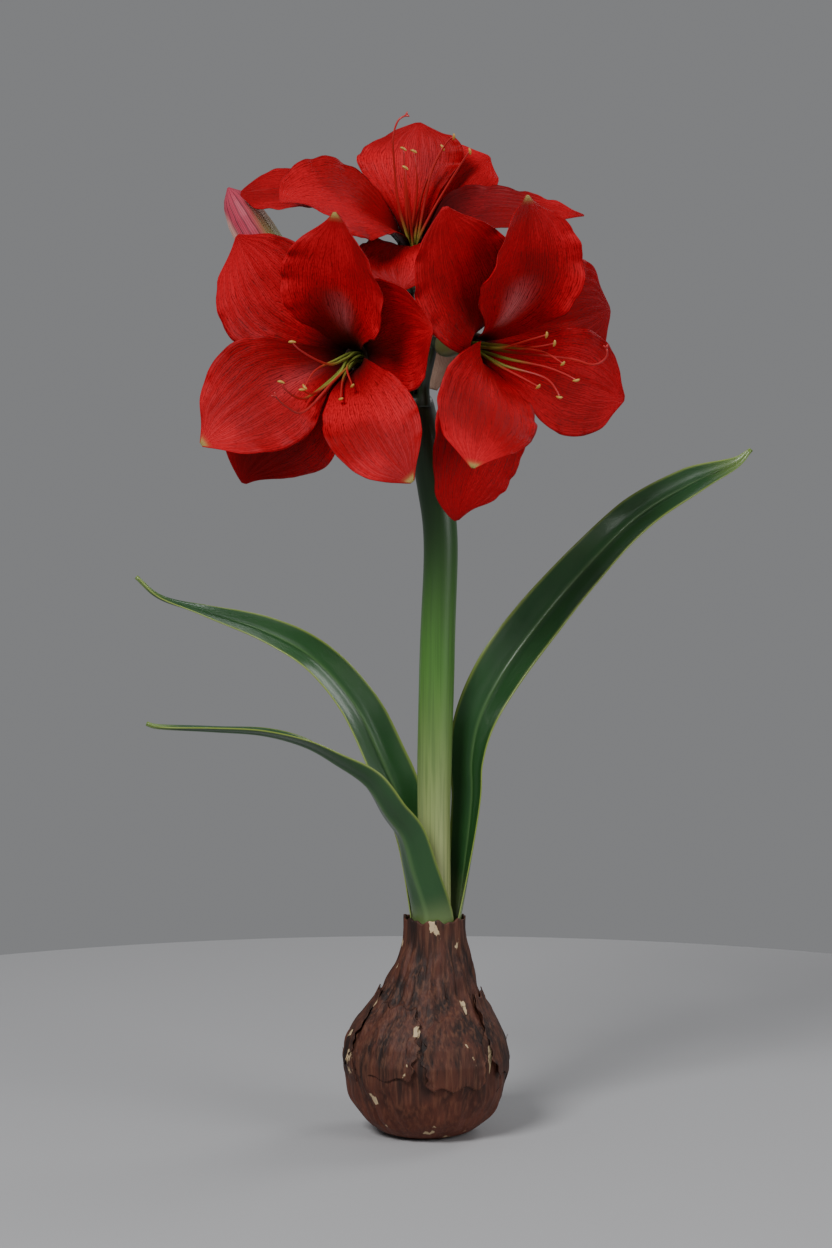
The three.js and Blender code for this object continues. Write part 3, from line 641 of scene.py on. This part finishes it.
def petal_rows(flower, petal):
    """The petal's surface, with its ruffled margins, grooved midrib and fine puckers."""
    throat, axis = flower_axes(flower)[:2]
    u, middle, blade, normal, opening = petal_midrib(flower, petal)
    spoke = middle - throat
    distance = np.linalg.norm(spoke - (spoke @ axis)[:, None] * axis, axis=1)
    width = (np.maximum(petal_width(u, petal), 0.3) ** -5 + (CROWDING * distance) ** -5) ** -0.2
    wrap = np.cos(opening) / distance * (1 - smooth(0.3, 0.75, u))
    cup = np.radians(three(u, (0, *petal["cup"])))
    height, waves, phase = petal["ruffle"]
    frill = chance.uniform(0, 2 * math.pi, 4)
    v = np.linspace(-1, 1, PETAL_COLUMNS + 1)
    q = np.abs(v)
    halves = []
    for side, sign in ((0, -1), (1, 1)):
        reach = width * (1 + (petal["side"][side] - 1) * smooth(0.2, 0.5, u))
        roll = math.radians(petal["roll"][side]) * smooth(0.1, 0.4, u)
        roll = roll * np.minimum(1, reach / petal["width"] * 1.2)
        fine_q = (np.arange(HALF_STEPS) + 0.5) / HALF_STEPS
        slope = (wrap * reach + cup * reach / petal["width"])[:, None] * fine_q + \
            roll[:, None] * np.maximum((fine_q - 0.35) / 0.65, 0) ** 2
        x = np.hstack([np.zeros((len(u), 1)), np.cumsum(np.cos(slope), axis=1)]) * reach[:, None] / HALF_STEPS
        z = np.hstack([np.zeros((len(u), 1)), np.cumsum(np.sin(slope), axis=1)]) * reach[:, None] / HALF_STEPS
        wave = height * np.sin(2 * math.pi * waves * u + phase + (0 if side else 2.1))
        wave *= smooth(0.15, 0.45, u) * np.sqrt(width / petal["width"])
        frills = 1.1 * np.sin(2 * math.pi * 6.5 * u + frill[side])
        frills = frills + 0.4 * np.sin(2 * math.pi * 13 * u + frill[side + 2])
        frills *= height / 1.5 * smooth(0.2, 0.5, u) * smooth(1.0, 0.85, u) * np.sqrt(width / petal["width"])
        take = q[v >= 0] if sign > 0 else q[v < 0]
        at = take * HALF_STEPS
        low = np.minimum(at.astype(int), HALF_STEPS - 1)
        part = at - low
        px = x[:, low] * (1 - part) + x[:, low + 1] * part
        pz = z[:, low] * (1 - part) + z[:, low + 1] * part
        pz = pz + wave[:, None] * take**2.5 + frills[:, None] * take**5
        aside = sign * px[..., None] * blade[:, None]
        halves.append(middle[:, None] + aside + pz[..., None] * normal[:, None])
    rows = np.concatenate(halves, axis=1)
    grid_u = np.repeat(u[:, None], len(v), 1)
    grid_v = np.repeat(v[None], len(u), 0)
    groove = -0.7 * np.exp(-((grid_v * 9) ** 2)) * smooth(0.05, 0.25, grid_u) * smooth(1.0, 0.8, grid_u)
    pucker = 0.3 * np.sin(grid_v * 34 + 2 * np.sin(grid_u * 9 + frill[0])) * smooth(0.1, 0.4, grid_u)
    rows += (groove + pucker * smooth(1.0, 0.8, grid_u))[..., None] * normal[:, None]
    return rows, grid_u, grid_v


# Which petals end in a green tip
GREEN_TIPS = {
    ("left", "inner", 0), ("left", "inner", 1), ("left", "inner", 2),
    ("right", "inner", 0), ("right", "inner", 2),
}
# How strong the pale streak near the base of a petal is
PALE_STREAKS = {("left", "inner", 0): 0.55, ("right", "inner", 0): 0.8, ("left", "inner", 2): 0.2}
# How far up its petals a throat's darkness reaches, partly the throat's own deep red and partly painted shade
# in the throat, and the petals where painted shade reaches further because they lie in the shade of other
# petals
THROAT_DARK_AND_SHADE_REACH = {"left": 0.40, "right": 0.14, "top": 0.30}
PETALS_IN_PAINTED_SHADE = {("top", "inner", 1): 1.1, ("left", "outer", 0): 0.55}


def make_petal(side, whorl, index, flower, own):
    petal = {**(INNER if whorl == "inner" else OUTER), **own}
    rows, u, v = petal_rows(flower, petal)
    key = (side, whorl, index)
    # How far the near-black reaches: the throat's deep red with painted shade, further up on petals painted
    # as lying in shade
    reach = PETALS_IN_PAINTED_SHADE.get(key, THROAT_DARK_AND_SHADE_REACH[side])
    throat_dark_and_shade = smooth(reach, 0.02, u) * 0.96
    tip = smooth(0.95, 0.985, u) * smooth(1.0, 0.5, np.abs(v)) if key in GREEN_TIPS else np.zeros_like(u)
    pale = PALE_STREAKS.get(key, 0) * smooth(0.12, 0.24, u) * smooth(0.6, 0.3, u) * np.exp(-((v * 4.2) ** 2))
    thickness = PETAL_SKIN * (1 - 0.55 * np.abs(v) ** 4)
    verts, faces = sheet(rows, thickness)
    marks = {"along": u, "across": v, "throat_dark_and_shade": throat_dark_and_shade, "tip": tip, "pale": pale}
    marks = {k: np.concatenate([a.ravel(), a.ravel()]) for k, a in marks.items()}
    make_piece(f"{side}_{whorl}_petal_{index + 1}", verts, faces, RED,
               [f"{side}_{whorl}_tepal_{index + 1}"], marks)


THREAD_SLOTS = 7
THREAD_START = ((-10.5, 2.6), (3, 3.2))  # the first points: how far along the flower's axis and from it
STAMEN_ROWS = 40
STYLE_ROWS = 48
ANTHER_ROWS = 13


def thread_line(flower, thread, count):
    throat, axis, right, up = flower_axes(flower)
    angle = (thread["slot"] / THREAD_SLOTS - 0.25) * 2 * math.pi
    start = [[depth, r * math.cos(angle), r * math.sin(angle)] for depth, r in THREAD_START]
    return spline([throat + a * axis + x * right + y * up for a, x, y in start + thread["path"]], count)


# How far up its thread the green reaches
GREEN_REACH = {"left": 0.45, "right": 0.38, "top": 0.1}


def make_stamen(side, index, flower, stamen):
    line = thread_line(flower, stamen, STAMEN_ROWS)
    stalk, faces, u, _ = tube(line[:-2], np.linspace(1.15, 0.45, STAMEN_ROWS - 1), 10)
    heading = unit(line[-1] - line[-4])
    lean = unit(np.cross(heading, [0.2, 1, 0.3]))
    bow = [
        line[-3] + heading * 0.6 * s + lean * (s * 0.9) - heading * 0.12 * s * s
        for s in np.linspace(-2.0, 2.0, ANTHER_ROWS)
    ]
    plump = 0.15 + 0.72 * np.sin(np.linspace(0.08, 3.06, ANTHER_ROWS)) ** 0.7
    lobe, lobe_faces, lobe_u, _ = tube(bow, plump, 10)
    verts, faces = join([(stalk, faces), (lobe, lobe_faces)])
    marks = {
        "along": np.concatenate([u, lobe_u]), "green": np.full(len(verts), GREEN_REACH[side]),
        "anther": np.concatenate([np.zeros(len(stalk)), np.ones(len(lobe))]),
    }
    make_piece(f"{side}_filament_{index + 1}", verts, faces, THREAD,
               [f"{side}_stamen_{index + 1}"], marks)


def make_style(side, flower, style):
    line = thread_line(flower, style, STYLE_ROWS)
    stalk, faces, u, _ = tube(line[:-1], np.linspace(1.0, 0.55, STYLE_ROWS), 10)
    heading = unit(line[-1] - line[-3])
    first = unit(np.cross(heading, [0.1, 1, 0.4]))
    second = np.cross(heading, first)
    shapes = [(stalk, faces)]
    for k in range(3):
        a = 2 * math.pi * k / 3
        out = math.cos(a) * first + math.sin(a) * second
        lobe = [line[-2] + heading * 2.2 * s + out * 1.8 * s**1.6 for s in np.linspace(0, 1, 7)]
        shapes.append(tube(lobe, [0.55, 0.6, 0.62, 0.62, 0.58, 0.48, 0.2], 8)[:2])
    verts, faces = join(shapes)
    marks = {
        "along": np.concatenate([u, np.ones(len(verts) - len(u))]), "green": np.full(len(verts), 0.12),
        "anther": np.zeros(len(verts)),
    }
    make_piece(f"{side}_style_and_stigma", verts, faces, THREAD, [f"{side}_style"], marks)


TUBE_PROFILE = [
    (3.4, -TUBE_LENGTH - 1), (5.2, -TUBE_LENGTH + 0.8), (6.6, -TUBE_LENGTH + 4), (7, -TUBE_LENGTH + 8),
    (6.3, -TUBE_LENGTH + 12), (5.2, -15), (5.6, -11), (6.4, -7), (8, -3.5), (9.4, -0.6), (8.8, -0.2),
    (5.4, -0.8), (4.8, -6), (4.1, -12),
]
TUBE_MOUTH = 10  # from this point on, the profile is inside the tube
TUBE_SIDES = 36


def make_tube(side, flower):
    throat, axis, right, up = flower_axes(flower)
    verts, inside = [], []
    for i, (radius, depth) in enumerate(TUBE_PROFILE):
        for j in range(TUBE_SIDES):
            a = 2 * math.pi * j / TUBE_SIDES
            bulge = 1 + (0.08 * math.cos(3 * a) if depth < -15 else 0)
            verts.append(throat + axis * depth + (right * math.cos(a) + up * math.sin(a)) * radius * bulge)
            # marks the inside of the tube, where the painted shade goes
            inside.append(float(i >= TUBE_MOUTH))
    faces = ring_faces(len(TUBE_PROFILE), TUBE_SIDES)
    make_piece(f"{side}_ovary_and_tube", np.array(verts), faces, OVARY,
               [f"{side}_tube"], {"inside": inside})


SCAPE_TOP = 9  # the stalks reach this far down into the top of the stem
STALK_ROWS = 40


def make_pedicel(side, flower):
    throat, axis = flower_axes(flower)[:2]
    start, through = PEDICELS[side]["start"], PEDICELS[side]["through"]
    root = np.array(start) - [0, 0, SCAPE_TOP]
    line = spline([root, *through, throat - axis * (TUBE_LENGTH + 6), throat - axis * (TUBE_LENGTH - 1)],
                  STALK_ROWS)
    radii = along([4.6, 3.9, 3.4, 3.3, 3.3, 3.6, 4.0], np.linspace(0, 1, STALK_ROWS + 1))
    verts, faces = tube(line, radii, 20, 6, 0.02)[:2]
    make_piece(f"{side}_flower_stalk", verts, faces, STEM, [f"{side}_pedicel"])


def make_flowers():
    for side, flower in FLOWERS.items():
        make_pedicel(side, flower)
        make_tube(side, flower)
        for whorl in ("inner", "outer"):
            for index, own in enumerate(flower[whorl]):
                make_petal(side, whorl, index, flower, own)
        for index, stamen in enumerate(STAMENS[side]):
            make_stamen(side, index, flower, stamen)
        make_style(side, flower, STYLES[side])


# Stem, bud, bracts and leaves

def make_scape():
    line = spline(SCAPE_LINE, SCAPE_ROWS)
    radii = along(SCAPE_RADIUS, np.linspace(0, 1, SCAPE_ROWS + 1))
    radii[-4:] *= [1.0, 0.97, 0.9, 0.72]
    verts, faces = tube(line, radii, 48, 2, 0.03)[:2]
    make_piece("flower_stem", verts, faces, STEM, ["scape"])


def make_bud():
    root = np.array(BUD_PEDICEL[0]) - [0, 0, SCAPE_TOP]
    line = spline([root, *BUD_PEDICEL[1:], BUD_LINE[1]], STALK_ROWS + 8)
    radii = along([4.2, 3.4, 3.1, 3.0, 3.3], np.linspace(0, 1, len(line)))
    verts, faces = tube(line, radii, 20)[:2]
    make_piece("bud_stalk", verts, faces, STEM, ["bud_pedicel"])
    line = spline(BUD_LINE, BUD_ROWS)
    t = np.linspace(0, 1, BUD_ROWS + 1)
    radii = along(BUD_RADIUS, t) * np.sqrt(np.clip((1.004 - t) / 0.08, 0, 1))
    verts, faces, u, angle = tube(line, radii, BUD_SIDES, 3, 0.05)
    facing = verts - np.repeat(line, BUD_SIDES, axis=0)
    marks = {
        "along": u, "across": angle / math.pi - 1,
        "green": smooth(1.0, 9.0, facing[:, 0] + 0.3 * facing[:, 2]),
        # pale: a painted highlight down the side of the bud that faces the key light
        "pale": smooth(-7.0, -10.5, facing[:, 0]) * smooth(0.15, 0.5, u),
    }
    make_piece("closed_bud", verts, faces, BUD, ["bud"], marks)


def blade_rows(blade, row_count, columns, sag):
    """The surface of a leaf or bract, across its midrib line."""
    line = spline(blade["line"], row_count)
    u = np.linspace(0, 1, row_count + 1)
    tangent = unit(np.gradient(line, axis=0))
    flat = unit(np.cross(tangent, [0, 1, 0]))
    deep = np.cross(flat, tangent)
    turn = np.radians(three(u, blade["turn"]))[:, None]
    across = flat * np.cos(turn) + deep * np.sin(turn)
    face = np.cross(tangent, across)
    reach = along(blade["width"], u)
    lift = np.radians(blade["curl"][0] + (blade["curl"][1] - blade["curl"][0]) * u)
    v = np.linspace(-1, 1, columns + 1)
    bow = np.maximum(np.abs(v)[None] * lift[:, None], 1e-6)
    x = (reach / lift)[:, None] * np.sin(bow) * np.sign(v)
    z = (reach / lift)[:, None] * (1 - np.cos(bow)) + sag(u[:, None], v[None])
    rows = line[:, None] + x[..., None] * across[:, None] + z[..., None] * face[:, None]
    return rows, np.repeat(u[:, None], columns + 1, 1), np.repeat(v[None], row_count + 1, 0)


def leaf_waves(phase, height):
    def sag(u, v):
        crease = -1.3 * np.exp(-((v * 6) ** 2)) * smooth(0.03, 0.2, u)
        wave = height * np.sign(v) * np.abs(v) ** 3 * np.sin(2 * math.pi * 2.3 * u + phase)
        return crease + wave * smooth(0.1, 0.4, u)
    return sag


LEAF_ROWS = 160
LEAF_COLUMNS = 28
LEAF_SKIN = 1.7
# Phase and height of the waves along each leaf's margins
LEAF_WAVES = {"upper_left_leaf": (0.4, 0.8), "lower_left_leaf": (2.0, 0.8), "right_leaf": (1.0, 2.0)}


def make_leaf(name, leaf):
    rows, u, v = blade_rows(leaf, LEAF_ROWS, LEAF_COLUMNS, leaf_waves(*LEAF_WAVES[name]))
    thickness = LEAF_SKIN * (1 - 0.65 * np.abs(v) ** 3)
    verts, faces = sheet(rows, thickness)
    marks = {"along": np.tile(u.ravel(), 2), "across": np.tile(v.ravel(), 2)}
    make_piece(f"{name}_blade", verts, faces, LEAF, [name], marks)


PAPER_SKIN = 0.5
BRACT_ROWS = 60
BRACT_COLUMNS = 24


def make_bract(index, bract):
    def crumple(u, v):
        return 0.7 * np.sin(9 * u + 5 * v) * np.abs(v) + 0.5 * np.sin(31 * u + 2) * np.abs(v) ** 3
    rows, u, v = blade_rows(bract, BRACT_ROWS, BRACT_COLUMNS, crumple)
    verts, faces = sheet(rows, np.full(u.shape, PAPER_SKIN))
    marks = {"along": np.tile(u.ravel(), 2), "across": np.tile(v.ravel(), 2)}
    make_piece(f"dry_bract_{index + 1}", verts, faces, PAPER, [f"bract_{index + 1}"], marks)


def make_bracteole():
    line = spline([(-8, -3, 457), (-9.5, -5, 480), (-11.5, -4, 510), (-12.4, -6, 529)], 30)
    verts, faces, u, _ = tube(line, np.linspace(1.3, 0.5, len(line)), 10)
    make_piece("bracteole", verts, faces, PAPER, (), {"along": u, "across": u * 0})


# Bulb

def bulb_shift(height):
    return NECK_SHIFT * smooth(60, 125, height)


def bulb_radius(height):
    radii, heights = zip(*BULB_PROFILE)
    return np.interp(height, heights, radii)


BULB_ROWS = 150
COLLAR_ROWS = 12
BULB_SIDES = 180
SCALE_EDGES = 5


def make_bulb():
    shoulder = spline([(r, 0, z) for r, z in BULB_PROFILE], BULB_ROWS)
    collar = spline([(r, 0, z) for r, z in COLLAR], COLLAR_ROWS)
    profile = np.vstack([shoulder, collar])
    angle = 2 * math.pi * np.arange(BULB_SIDES) / BULB_SIDES
    height = profile[:, 2:3]
    lap = chance.uniform(0, 2 * math.pi, SCALE_EDGES)
    relief = np.zeros((len(profile), BULB_SIDES))
    for k in range(SCALE_EDGES):  # edges that run up the bulb and cross at a slant
        edge = (angle[None] - lap[k] + (height - 40) * 0.006 * (-1) ** k + math.pi) % (2 * math.pi) - math.pi
        lip = 0.7 * smooth(0.0, 0.06, edge) * smooth(0.7, 0.1, edge)
        relief += -0.9 * np.exp(-((edge / 0.05) ** 2)) + lip
    relief += 0.45 * np.sin(23 * angle + 2 * np.sin(height * 0.07)) + 0.3 * np.sin(57 * angle + height * 0.05)
    relief += 1.3 * np.sin(3 * angle + height * 0.06 + 1) * np.sin(height * 0.13 + 2 * angle)
    relief += 0.7 * np.sin(11 * angle - height * 0.11) * np.sin(height * 0.21 + 5 * angle)
    relief *= smooth(2, 12, height) * (0.35 + 0.65 * smooth(125, 100, height))
    relief[len(shoulder):] = 0
    ragged = 1.2 * np.sin(7 * angle) + 0.8 * np.sin(17 * angle + 1)
    radius = profile[:, :1] + relief
    rim = (np.arange(len(profile)) <= len(shoulder) + 4)[:, None]
    z = height + ragged * smooth(126, 134, height) * rim * 0.8
    x = np.cos(angle) * radius + bulb_shift(height)
    verts = np.stack([x, np.sin(angle) * radius, z], -1).reshape(-1, 3)
    faces = ring_faces(len(profile), BULB_SIDES)
    make_piece("bulb_in_tunic", verts, faces, TUNIC, ["bulb"])


FLAKE_ROWS = 40
FLAKE_COLUMNS = 48


def make_flake(name, flake):
    t = np.linspace(0, 1, FLAKE_ROWS + 1)[:, None]
    s = np.linspace(-1, 1, FLAKE_COLUMNS + 1)[None]
    phase = chance.uniform(0, 2 * math.pi, 3)
    ragged = 1 + 0.06 * np.sin(19 * t + phase[0]) + 0.05 * np.sin(41 * t + phase[1])
    taper = (0.55 + 0.45 * np.sin(math.pi * (0.15 + 0.7 * t))) * ragged
    uneven = 1.6 * np.sin(6 * s + phase[2]) * (2 * t - 1) ** 3
    height = flake["low"] + (flake["high"] - flake["low"]) * t + uneven
    angle = np.radians(flake["at"] + flake["half"] * taper * s)
    curl = 1.8 * np.abs(s) ** 5 * (0.2 + 0.8 * np.sin(5 * t + phase[1]) ** 2) + 1.2 * smooth(0.85, 1.0, t)
    radius = bulb_radius(height) + 0.9 + curl + 0.15 * np.sin(60 * s + 3 * t)
    rows = np.stack([np.cos(angle) * radius + bulb_shift(height), np.sin(angle) * radius, height], -1)
    verts, faces = sheet(rows[:, ::-1], np.full(rows.shape[:2], PAPER_SKIN))
    make_piece(f"{name}_of_tunic", verts, faces, TUNIC, [name])


SHREDS = 26
SHRED_ROWS = 9


def make_shreds():
    """Loose fibres of the tunic round the shoulder and the neck."""
    shapes = []
    for _ in range(SHREDS):
        angle, height = chance.uniform(0, 2 * math.pi), chance.uniform(14, 112)
        length, lift = chance.uniform(8, 22), chance.uniform(0.5, 2.6)
        turn = chance.uniform(-0.12, 0.12)
        line = []
        for t in np.linspace(0, 1, SHRED_ROWS):
            z = height + length * t
            a, r = angle + turn * t, bulb_radius(z) + 0.6 + lift * t * t
            line.append([math.cos(a) * r + bulb_shift(z), math.sin(a) * r, z])
        shapes.append(tube(line, np.linspace(0.35, 0.12, SHRED_ROWS), 6)[:2])
    verts, faces = join(shapes)
    make_piece("tunic_fibres", verts, faces, TUNIC)


# Studio

# The studio's lengths are in metres
FLOOR_RADIUS = 0.7
FLOOR_SIDES = 128


def make_floor():
    ring = [2 * math.pi * i / FLOOR_SIDES for i in range(FLOOR_SIDES)]
    mesh = bpy.data.meshes.new("floor")
    rim = [(math.cos(a) * FLOOR_RADIUS, math.sin(a) * FLOOR_RADIUS, 0) for a in ring]
    mesh.from_pydata(rim, [], [tuple(range(FLOOR_SIDES))])
    material, m = new_material("pale_floor")
    m.finish((0.42, 0.42, 0.43, 1.0), Roughness=0.8)
    mesh.materials.append(material)
    floor = bpy.data.objects.new("floor", mesh)
    bpy.context.scene.collection.objects.link(floor)


def soft_light(name, place, target, size, watts):
    lamp = bpy.data.lights.new(name, "AREA")
    lamp.shape, lamp.size, lamp.energy = "DISK", size, watts
    light = bpy.data.objects.new(name, lamp)
    light.location = place
    aim(light, place, target)
    bpy.context.scene.collection.objects.link(light)


def aim(thing, place, target):
    way = Vector(target) - Vector(place)
    thing.rotation_euler = way.to_track_quat("-Z", "Y").to_euler()


def light_studio():
    middle = (0, 0, 0.35)
    soft_light("key", (-0.9, -1.5, 1.7), middle, 0.8, 44)
    soft_light("fill", (1.5, -1.2, 0.9), middle, 1.2, 14)
    soft_light("rim", (1.2, 1.0, 1.4), middle, 0.9, 8)
    world = bpy.data.worlds.new("studio")
    world.use_nodes = True
    world.node_tree.nodes["Background"].inputs[0].default_value = (0.36, 0.365, 0.375, 1)
    world.node_tree.nodes["Background"].inputs[1].default_value = 0.6
    bpy.context.scene.world = world


CAMERA_DISTANCE = 2.019
CAMERA_RISE = math.radians(4.5)


def make_camera():
    target = np.array([-0.0061, 0, 0.3156])
    place = target - CAMERA_DISTANCE * np.array([0, math.cos(CAMERA_RISE), -math.sin(CAMERA_RISE)])
    lens = bpy.data.cameras.new("camera")
    lens.lens, lens.sensor_width = 95, 36
    camera = bpy.data.objects.new("camera", lens)
    camera.location = place
    aim(camera, place, target)
    bpy.context.scene.collection.objects.link(camera)
    bpy.context.scene.camera = camera


RED = petal_velvet()
THREAD = filament()
LEAF = leaf_green()
STEM = stem_green()
OVARY = tube_green()
BUD = bud_skin()
PAPER = bract_paper()
TUNIC = tunic_paper()

make_camera()
make_floor()
light_studio()
make_bulb()
for name, flake in FLAKES.items():
    make_flake(name, flake)
make_shreds()
make_scape()
for name, leaf in LEAVES.items():
    make_leaf(name, leaf)
for index, bract in enumerate(BRACTS):
    make_bract(index, bract)
make_bracteole()
make_bud()
make_flowers()
